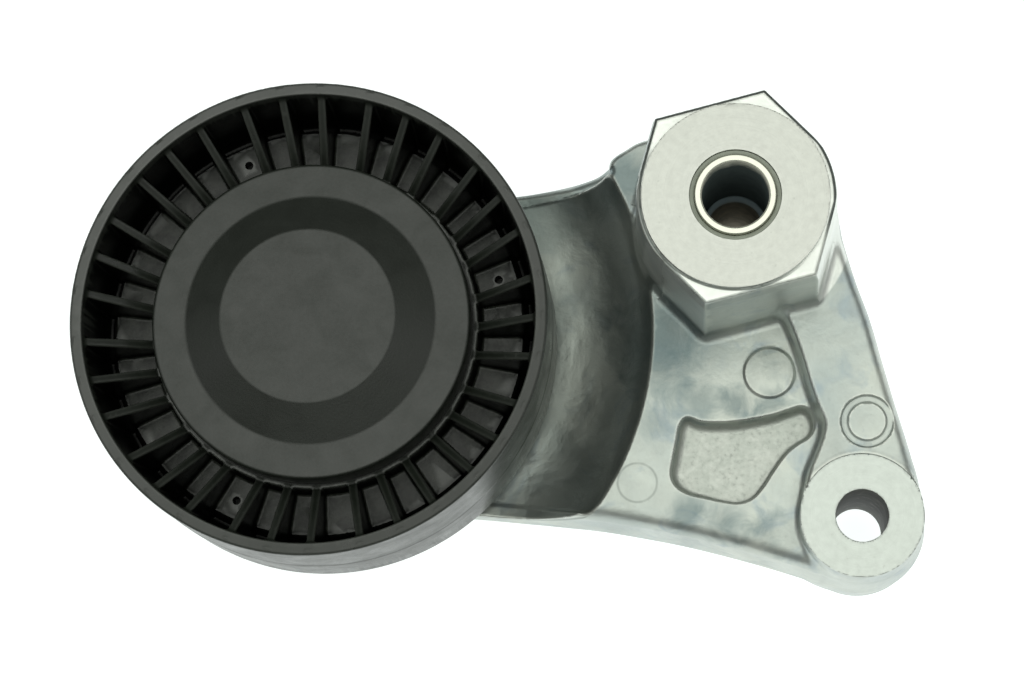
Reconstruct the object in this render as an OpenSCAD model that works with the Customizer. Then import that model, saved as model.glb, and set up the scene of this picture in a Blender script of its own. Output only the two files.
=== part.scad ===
// Belt tensioner idler: a die-cast lever that swings on a steel sleeve and
// carries a ribbed plastic pulley on a sealed ball bearing.
// Frame: origin on the pivot axis at the rear mounting plane, +Z along the
// pivot towards the front, the pulley lies on the -X side, the strut eye on -Y.

/* [Pulley] */
// Outer (belt) diameter of the pulley
pulley_d = 70; // [68:0.5:72]
// Width of the belt surface
pulley_w = 25; // [24:0.5:26]
// Height of the pulley's rear plane above the mounting plane
pulley_z = 17; // [16.5:0.5:18]
// Wall of the rim at its front edge
rim_t = 1.85; // [1.5:0.05:2.5]
// Ribs in one group of the pulley web
ribs_per_group = 3; // [2, 3]
// Groups of ribs round the pulley
rib_groups = 11; // [9:1:12]
// Thickness of a rib
rib_t = 1.2; // [0.8:0.1:1.6]
// Diameter of the dust cap
cap_d = 47; // [46:0.5:47.5]
// Diameter of the raised middle of the dust cap
cap_plateau_d = 25.6; // [22:0.2:28]

/* [Bearing] */
// Bore of the ball bearing
brg_bore = 17; // [17]
// Outside diameter of the ball bearing
brg_od = 40; // [40]
// Width of the ball bearing
brg_w = 12; // [12]
// Ball diameter
ball_d = 6.747; // [6.7:0.001:6.75]
// Number of balls
ball_n = 8; // [7:1:8]

/* [Lever] */
// Pulley axis, distance to the left of the pivot
pulley_x = 62.2; // [61.5:0.1:63]
// Pulley axis, distance below the pivot
pulley_y = 17.4; // [16.5:0.1:18]
// Strut eye, distance to the right of the pivot
eye_x = 18.4; // [18:0.1:19]
// Strut eye, distance below the pivot
eye_y = 44.6; // [44:0.1:45]
// Diameter of the hole in the strut eye
eye_hole_d = 8; // [7:0.1:9]
// Height of the front face of the pivot boss
boss_z = 42; // [41.5:0.1:42.2]
// Width across flats of the hexagon on the pivot boss
hex_af = 29.4; // [28:0.1:30]
// Diameter of the machined face on the pivot boss
face_d = 27.4; // [26:0.1:28]
// Height of the arm floor beside the pulley
arm_z = 12.5; // [11:0.5:13]
// Height of the plate between the pivot and the eye
plate_z = 20; // [19:0.5:21]
// Height of the raised band along the right edge
band_z = 25; // [24:0.5:25.5]

/* [Pivot] */
// Outside diameter of the pivot sleeve
sleeve_d = 11.94; // [11.9:0.01:11.98]
// Clearance bore of the sleeve for the fixing bolt
sleeve_bore_d = 8.4; // [8.2:0.1:9]
// Relief bore in the front half of the sleeve
sleeve_relief_d = 9.8; // [9.4:0.1:10]
// Length of the sleeve
sleeve_l = 42.3; // [42.2:0.1:43]

/* [Hidden] */
$fn = 96;
e = 0.02;

pax = -pulley_x;                 // pulley axis
pay = -pulley_y;
ex = eye_x;                      // eye axis
ey = -eye_y;
pr = pulley_d / 2;
pz0 = pulley_z;                  // rear plane of the pulley
pz1 = pulley_z + pulley_w;       // front plane of the pulley
brg_z0 = 20.5;                   // rear face of the bearing
brg_z1 = brg_z0 + brg_w;
brg_zc = brg_z0 + brg_w / 2;
pitch_r = (brg_bore + brg_od) / 4;
hub_z0 = 19.7;                   // rear face of the moulded hub
hub_z1 = 33.3;                   // front face of the moulded hub
hub_r = 24.3;
web_z0 = 26.3;                   // web of the pulley
web_z1 = 29.3;
rear_z = 0.6;                    // rear plane of the casting
hex_rot = 14.6;

function arc(cx, cy, r, a0, a1, n) =
    [for (i = [0 : n]) let (a = a0 + (a1 - a0) * i / n) [cx + r * cos(a), cy + r * sin(a)]];

module at_pulley() { translate([pax, pay, 0]) children(); }
module ring(ro, ri, z0, z1) {
    translate([0, 0, z0]) difference() {
        cylinder(r = ro, h = z1 - z0);
        translate([0, 0, -1]) cylinder(r = ri, h = z1 - z0 + 2);
    }
}

// ---------------------------------------------------------------- casting
// outline of the whole lever at its parting plane
lever_pts = concat(
    arc(pax, pay, 24.6, 84, 268, 30),
    [[-50, -42.4], [-40, -43.0], [-27.4, -44.2], [-21, -44.9], [-15, -45.9], [-8.8, -47.2],
     [-2.6, -48.7], [3.6, -50.6], [8.2, -52.0], [13.6, -53.9]],
    arc(ex, ey, 10.1, -108, 8, 14),
    [[27.2, -37.5], [25.8, -32.3], [24.2, -26.8], [22.6, -21], [20.6, -13.3], [19.2, -8.1],
     [17.7, -2.6], [16.4, 2.4]],
    arc(0, 0, 16.2, 14, 120, 12),
    [[-12.6, 14.0], [-16.6, 12.6], [-19, 11.4], [-24, 9.6], [-28, 8.6], [-34, 7.5],
     [-44, 6.6], [-52, 6.7]]);

// left edge of the raised band, from the pivot boss down past the eye
band_pts = [[6.8, -13.4], [8.9, -19], [9.9, -23], [11.6, -28.4], [12.9, -31], [11.7, -34.4],
            [10.3, -38], [8.9, -41], [8.1, -44.6], [8.9, -48.6], [10.6, -51.4], [14, -54],
            [18.4, -55.2], [24, -53.2], [28, -49], [29, -44], [27.2, -37.5], [25.8, -32.3],
            [24.2, -26.8], [22.6, -21], [20.6, -13.3], [19.2, -8.1], [17.7, -2.6], [16.4, 2.4],
            [10, 6], [0, 0]];

// shallow pocket in the plate
pocket_pts = [[-7.2, -28.8], [-5.6, -29.5], [0, -29.9], [5.6, -28.9], [9.4, -27.4], [10.6, -27.9],
              [11.6, -30.4], [10.9, -32.2], [9.6, -32.9], [7.6, -34.6], [5.4, -37.4],
              [3.6, -40.2], [1.6, -41.6], [-0.6, -41.9], [-4.4, -41.2], [-7.8, -40.4],
              [-9.4, -38.8], [-9.7, -37], [-8.8, -32.2]];

// hexagon of the pivot boss: its left and right corners are rounded to radius rc
function hex_pts(af, rc) = let (w = 30 - acos(af / 2 / rc))
    [for (k = [0 : 5]) let (c = hex_rot + 60 * k)
        each (k == 0 || k == 3) ? arc(0, 0, rc, c - w, c + w, 6) : [[af / sqrt(3) * cos(c), af / sqrt(3) * sin(c)]]];

module rear_pocket(p, z1) { translate([0, 0, rear_z - 1]) linear_extrude(z1 - rear_z + 1) polygon(p); }

module lever_casting() {
    color("silver") difference() {
        union() {
            // arm and plate, with the pulley swept clear of it
            difference() {
                translate([0, 0, rear_z]) linear_extrude(plate_z - rear_z) polygon(lever_pts);
                // concave wall concentric with the pulley
                translate([-61, -15.4, 0]) rotate_extrude()
                    polygon(concat([[0, arm_z], [36, arm_z]],
                                   [for (a = [7.5 : 7.5 : 90]) [36 + 14 * sin(a), arm_z + 14 * (1 - cos(a))]],
                                   [[50, 60], [0, 60]]));
            }
            // raised band along the right edge and round the eye
            difference() {
                translate([0, 0, rear_z]) linear_extrude(band_z - rear_z)
                    intersection() { polygon(band_pts); polygon(lever_pts); }
            }
            // pivot boss with its hexagon
            translate([0, 0, rear_z - 0.2]) cylinder(r = 13.2, h = boss_z - 1.2 - rear_z);
            translate([0, 0, arm_z]) linear_extrude(boss_z - 3.5 - arm_z) polygon(hex_pts(hex_af, 15.2));
            translate([0, 0, boss_z - 3.5]) linear_extrude(2.8) polygon(hex_pts(hex_af - 1, 14.9));
            translate([0, 0, boss_z - 1]) cylinder(r = face_d / 2, h = 1);
            // eye boss
            translate([ex, ey, rear_z]) cylinder(r = 9.6, h = band_z - 0.5 - rear_z);
            // pulley seat: boss and spigot
            at_pulley() translate([0, 0, arm_z - 1]) cylinder(r = 11.1, h = 19.5 - arm_z + 1);
            at_pulley() translate([0, 0, arm_z]) cylinder(r = 8.48, h = brg_z1 - 1 - arm_z);
        }
        // pivot bore for the bushes and seals
        translate([0, 0, -1]) cylinder(r = 7, h = 50);
        // eye hole and its spot face
        translate([ex, ey, -1]) cylinder(d = eye_hole_d, h = 40);
        translate([ex, ey, band_z - 0.5]) cylinder(r = 9.35, h = 10);
        // threaded insert's hole in the spigot
        at_pulley() translate([0, 0, 8]) cylinder(r = 4.7, h = 40);
        // shallow pocket in the plate
        translate([0, 0, plate_z - 3]) linear_extrude(10) polygon(pocket_pts);
        // recessed ejector ring near the eye
        translate([19.3, -30.6, band_z - 0.6]) cylinder(r = 3.6, h = 4);
        // cored-out rear
        rear_pocket([[-47, -38.5], [-37, -39.2], [-37, -22], [-38.6, -22], [-41, -29], [-47, -35.4]], 7.5);
        rear_pocket([[-47, 3.2], [-37, 3.2], [-37, -12.8], [-38.6, -12.8], [-41, -5.8], [-47, 0.6]], 7.5);
        rear_pocket([[-33.5, -40], [-23, -40.6], [-23, -19.4], [-33.5, -19.4]], 8.5);
        rear_pocket([[-33.5, -15.6], [-23, -15.6], [-23, 5.4], [-33.5, 3.4]], 8.5);
        rear_pocket([[-19, -41], [-16.6, -41.4], [-13.4, -30], [-12.4, -19.4], [-19, -19.4]], 9);
        rear_pocket([[-12, -42], [-4.6, -43.4], [-4.6, -19.4], [-8.6, -19.4], [-9.6, -30]], 13.5);
        rear_pocket([[-1, -44.2], [6, -46.2], [6, -19.4], [-1, -19.4]], 13.5);
        rear_pocket([[-19, -15.8], [-16.6, -12], [-17.6, 0], [-16, 8.4], [-19, 7.6]], 9);
        rear_pocket([[9.6, -17.6], [14.6, -14.6], [19.4, -31.4], [9.6, -31.4]], 13.8);
        at_pulley() for (a = [-90, 90, 150, 210]) rotate(a)
            translate([0, 0, rear_z - 1]) linear_extrude(8) polygon([[12, -4], [20.4, -6.4], [20.4, 6.4], [12, 4]]);
    }
}

// ---------------------------------------------------------------- pivot
module pivot_sleeve() {
    color("lightsteelblue") difference() {
        cylinder(d = sleeve_d, h = sleeve_l);
        translate([0, 0, -1]) cylinder(d = sleeve_bore_d, h = sleeve_l + 2);
        translate([0, 0, 20]) cylinder(d = sleeve_relief_d, h = sleeve_l);
        translate([0, 0, sleeve_l - 0.4]) cylinder(r1 = sleeve_relief_d / 2, r2 = sleeve_relief_d / 2 + 0.5, h = 0.5);
    }
}
module pivot_bush_front() { color("darkgoldenrod") ring(7, 6.02, 24, 39); }
module pivot_bush_rear() { color("darkgoldenrod") ring(7, 6.02, 3.3, 18.3); }
module pivot_seal_front() { color("dimgray") ring(7, 6.03, 39, boss_z - 0.6); }
module pivot_seal_rear() { color("dimgray") ring(7, 6.03, 1, 3.3); }

// ---------------------------------------------------------------- pulley
// start angles of the rib groups; the wide cells lie between the groups
module ribs(z0, front) {
    for (g = [0 : rib_groups - 1], k = [0 : ribs_per_group - 1])
        rotate(22.3 + g * 360 / rib_groups + k * 10.1) rotate([90, 0, 0])
            translate([0, 0, -rib_t / 2]) linear_extrude(rib_t)
                polygon(front
                    ? [[hub_r - 0.5, web_z1 - 0.5], [pr - 1.6, web_z1 - 0.5], [pr - 1.6, pz1 - 1], [hub_r - 0.5, hub_z1]]
                    : [[hub_r - 0.5, web_z0 + 0.5], [pr - 1.6, web_z0 + 0.5], [pr - 1.6, pz0 + 1], [hub_r - 0.5, hub_z0 + 1.5]]);
}
module pulley_body() {
    color([0.16, 0.17, 0.16]) at_pulley() difference() {
        union() {
            rotate_extrude() polygon([
                [pr - 0.4, pz0], [pr, pz0 + 0.4], [pr, pz1 - 0.4], [pr - 0.4, pz1],
                [pr - rim_t, pz1], [pr - rim_t - 0.6, web_z1 - 0.3], [30.35, web_z1 - 0.3],
                [30.35, web_z1], [hub_r + 1.2, web_z1], [hub_r + 0.1, web_z1 + 1.6],
                [hub_r, hub_z1], [18.8, hub_z1], [18.8, brg_z1], [brg_od / 2, brg_z1],
                [brg_od / 2, brg_z0], [18.8, brg_z0], [18.8, hub_z0], [hub_r, hub_z0],
                [hub_r + 0.1, web_z0 - 1.6], [hub_r + 1.2, web_z0], [pr - rim_t - 0.6, web_z0],
                [pr - rim_t, pz0]]);
            ribs(0, true);
            ribs(0, false);
        }
        // moulding gate marks in three of the wide cells
        for (a = [16, 114.2, 245.1]) rotate(a) translate([27.8, 0, web_z1 - 0.6]) cylinder(r = 0.8, h = 3);
        // groove that the dust cap snaps into
        ring(22.6, 22.05, hub_z1 - 1.6, hub_z1 + 1);
    }
}
module dust_cap() {
    pl = cap_plateau_d / 2;
    color([0.25, 0.26, 0.25]) at_pulley() rotate_extrude() polygon([
        [0, pz1 + 0.2], [pl, pz1 + 0.2], [18.4, pz1 - 3.4], [cap_d / 2 - 0.3, pz1 - 3.4],
        [cap_d / 2, pz1 - 3.7], [cap_d / 2, hub_z1 + 0.05], [22.55, hub_z1 + 0.05], [22.55, hub_z1 - 1.4],
        [22.1, hub_z1 - 1.4], [22.1, pz1 - 5.2], [17.8, pz1 - 5.2], [pl - 0.5, pz1 - 1.6], [0, pz1 - 1.6]]);
}

// ---------------------------------------------------------------- bearing
grv = ball_d * 0.5195;           // race groove radius
gap = 0.026;                     // running gap under each ball
ci = pitch_r - ball_d / 2 - gap + grv;
co = pitch_r + ball_d / 2 + gap - grv;
module bearing_outer_ring() {
    color("silver") at_pulley() translate([0, 0, brg_zc]) difference() {
        rotate_extrude() polygon([
            [brg_od / 2, -brg_w / 2], [brg_od / 2, brg_w / 2], [17.5, brg_w / 2], [17.5, 4.3],
            [16.5, 4.3], [16.5, -4.3], [17.5, -4.3], [17.5, -brg_w / 2]]);
        rotate_extrude() translate([co, 0]) circle(r = grv);
    }
}
module bearing_inner_ring() {
    color("silver") at_pulley() translate([0, 0, brg_zc]) difference() {
        ring(12.1, brg_bore / 2, -brg_w / 2, brg_w / 2);
        rotate_extrude() translate([ci, 0]) circle(r = grv);
    }
}
module bearing_balls() {
    color("gainsboro") at_pulley() translate([0, 0, brg_zc])
        for (i = [0 : ball_n - 1]) rotate(i * 360 / ball_n) translate([pitch_r, 0, 0]) sphere(d = ball_d);
}
cage_t = 0.7;
module cage_half() {
    difference() {
        intersection() {
            union() {
                ring(15.4, 13.1, 0, cage_t);
                for (i = [0 : ball_n - 1]) rotate(i * 360 / ball_n) translate([pitch_r, 0, 0]) sphere(r = ball_d / 2 + 0.75);
            }
            ring(15.4, 13.1, 0, 6);
        }
        for (i = [0 : ball_n - 1]) rotate(i * 360 / ball_n) translate([pitch_r, 0, 0]) sphere(r = ball_d / 2 + 0.07);
        for (i = [0 : ball_n - 1]) rotate((i + 0.5) * 360 / ball_n) translate([pitch_r, 0, -1]) cylinder(r = 0.62, h = 3);
    }
}
module cage_half_front() { color("tan") at_pulley() translate([0, 0, brg_zc]) cage_half(); }
module cage_half_rear() { color("tan") at_pulley() translate([0, 0, brg_zc]) mirror([0, 0, 1]) cage_half(); }
module cage_rivets() {
    color("gray") at_pulley() translate([0, 0, brg_zc])
        for (i = [0 : ball_n - 1]) rotate((i + 0.5) * 360 / ball_n) translate([pitch_r, 0, 0]) {
            translate([0, 0, -cage_t - 0.02]) cylinder(r = 0.6, h = 2 * cage_t + 0.04);
            translate([0, 0, cage_t + 0.01]) cylinder(r = 0.95, h = 0.4);
            translate([0, 0, -cage_t - 0.41]) cylinder(r = 0.95, h = 0.4);
        }
}
module stiffener() { ring(17.2, 13.2, 4.32, 4.72); }
module seal_ring() {
    difference() {
        ring(17.46, 12.16, 4.34, 5.5);
        ring(17.22, 13.18, 4.2, 4.74);
    }
}
module seal_stiffener_front() { color("lightgray") at_pulley() translate([0, 0, brg_zc]) stiffener(); }
module seal_stiffener_rear() { color("lightgray") at_pulley() translate([0, 0, brg_zc]) mirror([0, 0, 1]) stiffener(); }
module bearing_seal_front() { color([0.2, 0.12, 0.1]) at_pulley() translate([0, 0, brg_zc]) seal_ring(); }
module bearing_seal_rear() { color([0.2, 0.12, 0.1]) at_pulley() translate([0, 0, brg_zc]) mirror([0, 0, 1]) seal_ring(); }

// ---------------------------------------------------------------- fixing of the pulley
module clamp_washer() { color("silver") at_pulley() ring(11.6, 4.25, brg_z1, brg_z1 + 1.8); }
module pulley_bolt() {
    color("dimgray") at_pulley() {
        translate([0, 0, 12]) cylinder(r = 3.98, h = brg_z1 + 2.5 - 12);
        translate([0, 0, brg_z1 + 1.8]) cylinder(r = 8, h = 1.2);
        difference() {
            translate([0, 0, brg_z1 + 1.8]) cylinder(r = 13 / sqrt(3), h = 5.6, $fn = 6);
            translate([0, 0, brg_z1 + 5.9]) cylinder(r = 4.2, h = 4);
        }
    }
}
module thread_insert() { color("khaki") at_pulley() ring(4.7, 3.98, 10, 26); }
module rear_dust_shield() {
    color("gainsboro") at_pulley() rotate_extrude() polygon([
        [8.55, 20.5], [12, 20.5], [12, 19.2], [22.4, 19.2], [22.4, 18.4], [11.2, 18.4],
        [11.2, 19.5], [8.55, 19.5]]);
}

lever_casting();
pivot_sleeve();
pivot_bush_front();
pivot_bush_rear();
pivot_seal_front();
pivot_seal_rear();
pulley_body();
bearing_outer_ring();
bearing_inner_ring();
bearing_balls();
cage_half_front();
cage_half_rear();
cage_rivets();
bearing_seal_front();
bearing_seal_rear();
seal_stiffener_front();
seal_stiffener_rear();
dust_cap();
pulley_bolt();
clamp_washer();
rear_dust_shield();
thread_insert();
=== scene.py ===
import math
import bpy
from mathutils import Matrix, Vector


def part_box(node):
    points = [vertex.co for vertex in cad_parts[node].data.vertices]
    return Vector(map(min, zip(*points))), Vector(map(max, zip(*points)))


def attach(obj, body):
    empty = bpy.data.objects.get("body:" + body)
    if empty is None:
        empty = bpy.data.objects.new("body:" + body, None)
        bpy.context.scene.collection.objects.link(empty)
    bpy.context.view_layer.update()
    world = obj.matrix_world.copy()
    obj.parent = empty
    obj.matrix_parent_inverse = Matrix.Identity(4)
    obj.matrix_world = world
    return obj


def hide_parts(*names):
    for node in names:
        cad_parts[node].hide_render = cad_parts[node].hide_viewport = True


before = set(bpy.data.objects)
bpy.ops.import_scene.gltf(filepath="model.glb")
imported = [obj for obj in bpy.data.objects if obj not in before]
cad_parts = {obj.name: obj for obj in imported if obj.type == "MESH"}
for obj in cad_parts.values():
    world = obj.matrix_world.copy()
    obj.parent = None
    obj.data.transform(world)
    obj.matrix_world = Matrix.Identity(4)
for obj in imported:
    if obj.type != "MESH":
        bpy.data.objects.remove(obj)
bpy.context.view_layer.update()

from concurrent.futures import ThreadPoolExecutor

import bpy
import numpy as np
from mathutils import Matrix, Vector

MM = 0.001

# ------------------------------------------------------------------ design numbers (mm, row frame)
lo_, hi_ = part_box("pulley_body")
PX, PY = (lo_.x + hi_.x) * 500.0, (lo_.y + hi_.y) * 500.0          # pulley axis
PR = (hi_.x - lo_.x) * 500.0                                        # pulley radius
PZ0, PZ1 = lo_.z * 1000.0, hi_.z * 1000.0                           # pulley planes
EX, EY = 18.4, -44.6                                                # strut eye
SX, SY, SR = -61.0, -15.4, 48.4                                     # hollow beside the pulley
HEX_ROT, HEX_AF = 14.6, 29.4
BOSS_Z, PLATE_Z, BAND_Z, ARM_Z, REAR_Z, PART_Z = 42.0, 20.0, 25.0, 12.5, 0.6, 10.0


# ------------------------------------------------------------------ field tools
def arc(cx, cy, r, a0, a1, n):
    a = np.radians(np.linspace(a0, a1, n + 1))
    return [(cx + r * math.cos(t), cy + r * math.sin(t)) for t in a]


def spline(points, step=0.35, closed=True):
    """A smooth line through the points, centripetal so that it doesn't overshoot."""
    p = np.array(points, float)
    n = len(p)
    out = []
    for i in range(n if closed else n - 1):
        p0, p1, p2, p3 = (p[(i + k) % n] if closed else p[min(max(i + k, 0), n - 1)] for k in (-1, 0, 1, 2))
        t0 = 0.0
        t1 = t0 + max(np.linalg.norm(p1 - p0), 1e-6) ** 0.5
        t2 = t1 + max(np.linalg.norm(p2 - p1), 1e-6) ** 0.5
        t3 = t2 + max(np.linalg.norm(p3 - p2), 1e-6) ** 0.5
        m = max(1, int(math.ceil(np.linalg.norm(p2 - p1) / step)))
        for t in t1 + (t2 - t1) * np.arange(m) / m:
            a1 = (t1 - t) / (t1 - t0) * p0 + (t - t0) / (t1 - t0) * p1
            a2 = (t2 - t) / (t2 - t1) * p1 + (t - t1) / (t2 - t1) * p2
            a3 = (t3 - t) / (t3 - t2) * p2 + (t - t2) / (t3 - t2) * p3
            b1 = (t2 - t) / (t2 - t0) * a1 + (t - t0) / (t2 - t0) * a2
            b2 = (t3 - t) / (t3 - t1) * a2 + (t - t1) / (t3 - t1) * a3
            out.append((t2 - t) / (t2 - t1) * b1 + (t - t1) / (t2 - t1) * b2)
    return np.array(out)


class Flat:
    """Signed distance to a closed outline, kept on a fine grid and read back bilinearly."""

    def __init__(self, outlines, h=0.2, band=7.0, soften=2, tags=None):
        if not isinstance(outlines, list):
            outlines = [outlines]
        every = np.vstack(outlines)
        self.lo = every.min(0) - band - 1.0
        hi = every.max(0) + band + 1.0
        self.h = h
        self.n = np.ceil((hi - self.lo) / h).astype(int) + 1
        xs = self.lo[0] + h * np.arange(self.n[0])
        ys = self.lo[1] + h * np.arange(self.n[1])
        d = np.full(tuple(self.n), band * band, np.float64)
        count = np.zeros((self.n[0] + 1, self.n[1]), np.int32)
        tag = np.zeros(tuple(self.n), np.float64) if tags else None
        for which, poly in enumerate(outlines):
            for a, b in zip(poly, np.roll(poly, -1, 0)):
                i0, j0 = np.maximum(((np.minimum(a, b) - band - self.lo) / h).astype(int), 0)
                i1, j1 = np.minimum(((np.maximum(a, b) + band - self.lo) / h).astype(int) + 2, self.n)
                ax, ay = xs[i0:i1, None] - a[0], ys[None, j0:j1] - a[1]
                bx, by = b - a
                t = np.clip((ax * bx + ay * by) / max(bx * bx + by * by, 1e-12), 0, 1)
                q = (ax - t * bx) ** 2 + (ay - t * by) ** 2
                part = d[i0:i1, j0:j1]
                if tags:
                    near = q < part
                    tag[i0:i1, j0:j1][near] = tags[which]
                np.minimum(part, q, out=part)
                y0, y1 = (a, b) if a[1] < b[1] else (b, a)
                ja, jb = int(math.ceil((y0[1] - self.lo[1]) / h)), int(math.ceil((y1[1] - self.lo[1]) / h))
                if jb > ja:
                    js = np.arange(ja, jb)
                    xc = y0[0] + (ys[js] - y0[1]) * (y1[0] - y0[0]) / (y1[1] - y0[1])
                    np.add.at(count, (np.ceil((xc - self.lo[0]) / h).astype(int), js), 1)
        inside = np.cumsum(count[:-1], 0) % 2 == 1
        d = np.sqrt(d)
        d[inside] *= -1
        for _ in range(soften):
            d[1:-1] = (d[:-2] + 2 * d[1:-1] + d[2:]) / 4
            d[:, 1:-1] = (d[:, :-2] + 2 * d[:, 1:-1] + d[:, 2:]) / 4
        self.t = d.ravel()
        self.tag = tag.ravel() if tags else None

    def place(self, x, y):
        u = np.clip((x - self.lo[0]) / self.h, 0, self.n[0] - 1.001)
        v = np.clip((y - self.lo[1]) / self.h, 0, self.n[1] - 1.001)
        return u, v

    def __call__(self, x, y):
        u, v = self.place(x, y)
        i, j = u.astype(np.int64), v.astype(np.int64)
        u, v = u - i, v - j
        k = i * self.n[1] + j
        t, n = self.t, self.n[1]
        return (t[k] * (1 - u) + t[k + n] * u) * (1 - v) + (t[k + 1] * (1 - u) + t[k + n + 1] * u) * v

    def nearest(self, x, y):
        u, v = self.place(x, y)
        return self.tag[np.rint(u).astype(np.int64) * self.n[1] + np.rint(v).astype(np.int64)]


def both(a, b, r):
    """What is inside a and b, with its outer corner rounded to radius r."""
    u, v = np.maximum(a + r, 0), np.maximum(b + r, 0)
    return np.minimum(-r, np.maximum(a, b)) + np.sqrt(u * u + v * v)


def either(a, b, r):
    """What is inside a or b, with its inner corner filleted to radius r."""
    u, v = np.maximum(r - a, 0), np.maximum(r - b, 0)
    return np.maximum(r, np.minimum(a, b)) - np.sqrt(u * u + v * v)


def cut(a, b, r):
    return both(a, -b, r)


POOL = ThreadPoolExecutor(4)


def run(f, p, chunk=120000):
    """f at the points p (n, 3), in parallel."""
    parts = [p[i:i + chunk] for i in range(0, len(p), chunk)]
    got = list(POOL.map(lambda q: f(q[:, 0], q[:, 1], q[:, 2]), parts))
    return np.concatenate(got) if got else np.zeros(0)


def slope(f, p, e=0.05):
    g = np.stack([run(f, p + d) - run(f, p - d) for d in np.eye(3) * e], 1)
    return g / np.maximum(np.linalg.norm(g, axis=1, keepdims=True), 1e-9)


def contour(f, lo, hi, h, B=8):
    """Dual contouring of the surface f = 0: corners between faces are kept sharp."""
    lo = np.array(lo, float) - 0.37 * h
    n = np.ceil((np.array(hi) - lo) / h).astype(int) + 2
    nb = np.ceil(n / B).astype(int)
    n = nb * B
    ib = np.stack(np.meshgrid(*[np.arange(k) for k in nb], indexing="ij"), -1).reshape(-1, 3)
    fc = run(f, lo + (ib + 0.5) * B * h)
    solid = np.zeros(tuple(n), bool)
    reach = 0.5 * B * h * math.sqrt(3) * 1.15 + 0.3
    view = solid.reshape(nb[0], B, nb[1], B, nb[2], B)
    deep = ib[fc < -reach]
    view[deep[:, 0], :, deep[:, 1], :, deep[:, 2], :] = True
    near = ib[np.abs(fc) <= reach]
    off = np.stack(np.meshgrid(*[np.arange(B)] * 3, indexing="ij"), -1).reshape(-1, 3)
    for s in range(0, len(near), 2000):
        blocks = near[s:s + 2000]
        idx = (blocks[:, None, :] * B + off[None]).reshape(-1, 3)
        solid[idx[:, 0], idx[:, 1], idx[:, 2]] = run(f, lo + idx * h) < 0
    size = np.array(n)
    where, point, flip, axis_of = [], [], [], []
    for a in range(3):
        s0 = [slice(None)] * 3
        s1 = [slice(None)] * 3
        s0[a], s1[a] = slice(0, -1), slice(1, None)
        i = np.stack(np.nonzero(solid[tuple(s0)] != solid[tuple(s1)]), 1)
        i = i[(i > 0).all(1) & (i < size - 1).all(1)]
        p0 = lo + i * h
        p1 = p0.copy()
        p1[:, a] += h
        f0, f1 = run(f, p0), run(f, p1)
        t0, t1 = np.zeros(len(i)), np.ones(len(i))
        for _ in range(3):
            t = t0 - f0 * (t1 - t0) / np.where(np.abs(f1 - f0) < 1e-12, 1e-12, f1 - f0)
            t = np.clip(t, t0 + 0.02 * (t1 - t0), t1 - 0.02 * (t1 - t0))
            q = p0.copy()
            q[:, a] += t * h
            ft = run(f, q)
            same = (ft < 0) == (f0 < 0)
            t0, f0 = np.where(same, t, t0), np.where(same, ft, f0)
            t1, f1 = np.where(same, t1, t), np.where(same, f1, ft)
        t = t0 - f0 * (t1 - t0) / np.where(np.abs(f1 - f0) < 1e-12, 1e-12, f1 - f0)
        q = p0.copy()
        q[:, a] += np.clip(t, 0, 1) * h
        where.append(i)
        point.append(q)
        flip.append(solid[i[:, 0], i[:, 1], i[:, 2]])
        axis_of.append(np.full(len(i), a))
    where, point, flip, axis_of = map(np.concatenate, (where, point, flip, axis_of))
    normal = slope(f, point)
    ring = {0: [(0, -1, -1), (0, 0, -1), (0, 0, 0), (0, -1, 0)],
            1: [(-1, 0, -1), (-1, 0, 0), (0, 0, 0), (0, 0, -1)],
            2: [(-1, -1, 0), (0, -1, 0), (0, 0, 0), (-1, 0, 0)]}
    step = np.array([ring[a] for a in range(3)])[axis_of]
    cells = where[:, None, :] + step
    key = (cells[..., 0] * size[1] + cells[..., 1]) * size[2] + cells[..., 2]
    uniq, inv = np.unique(key.ravel(), return_inverse=True)
    inv = inv.ravel()
    m = len(uniq)
    P, N = np.repeat(point, 4, 0), np.repeat(normal, 4, 0)
    total = lambda w: np.bincount(inv, w, m)
    num = total(np.ones(len(inv)))
    mass = np.stack([total(P[:, k]) for k in range(3)], 1) / num[:, None]
    A = np.zeros((m, 3, 3))
    for i in range(3):
        for j in range(i, 3):
            A[:, i, j] = A[:, j, i] = total(N[:, i] * N[:, j])
    d = (N * P).sum(1)
    b = np.stack([total(N[:, k] * d) for k in range(3)], 1) - np.einsum("nij,nj->ni", A, mass)
    w, V = np.linalg.eigh(A)
    good = w > 0.06 * w[:, 2:3]
    y = np.einsum("nji,nj->ni", V, b) * np.where(good, 1 / np.where(good, w, 1), 0)
    x = mass + np.einsum("nij,nj->ni", V, y)
    cell = np.stack([uniq // (size[1] * size[2]), uniq // size[2] % size[1], uniq % size[2]], 1)
    c0 = lo + cell * h
    x = np.clip(x, c0 - 0.05 * h, c0 + 1.05 * h)
    quads = inv.reshape(-1, 4)
    quads = np.where(flip[:, None], quads, quads[:, ::-1])
    return x, quads


def mesh_from(name, verts, faces, smooth=True):
    faces = np.asarray(faces)
    k = faces.shape[1]
    me = bpy.data.meshes.new(name)
    me.vertices.add(len(verts))
    me.vertices.foreach_set("co", (np.asarray(verts) * MM).astype(np.float32).ravel())
    me.loops.add(faces.size)
    me.loops.foreach_set("vertex_index", faces.astype(np.int32).ravel())
    me.polygons.add(len(faces))
    me.polygons.foreach_set("loop_start", (np.arange(len(faces)) * k).astype(np.int32))
    me.polygons.foreach_set("use_smooth", np.full(len(faces), smooth))
    me.update(calc_edges=True)
    me.validate()
    return me


def link(name, me):
    o = bpy.data.objects.new(name, me)
    bpy.context.scene.collection.objects.link(o)
    return o


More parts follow.
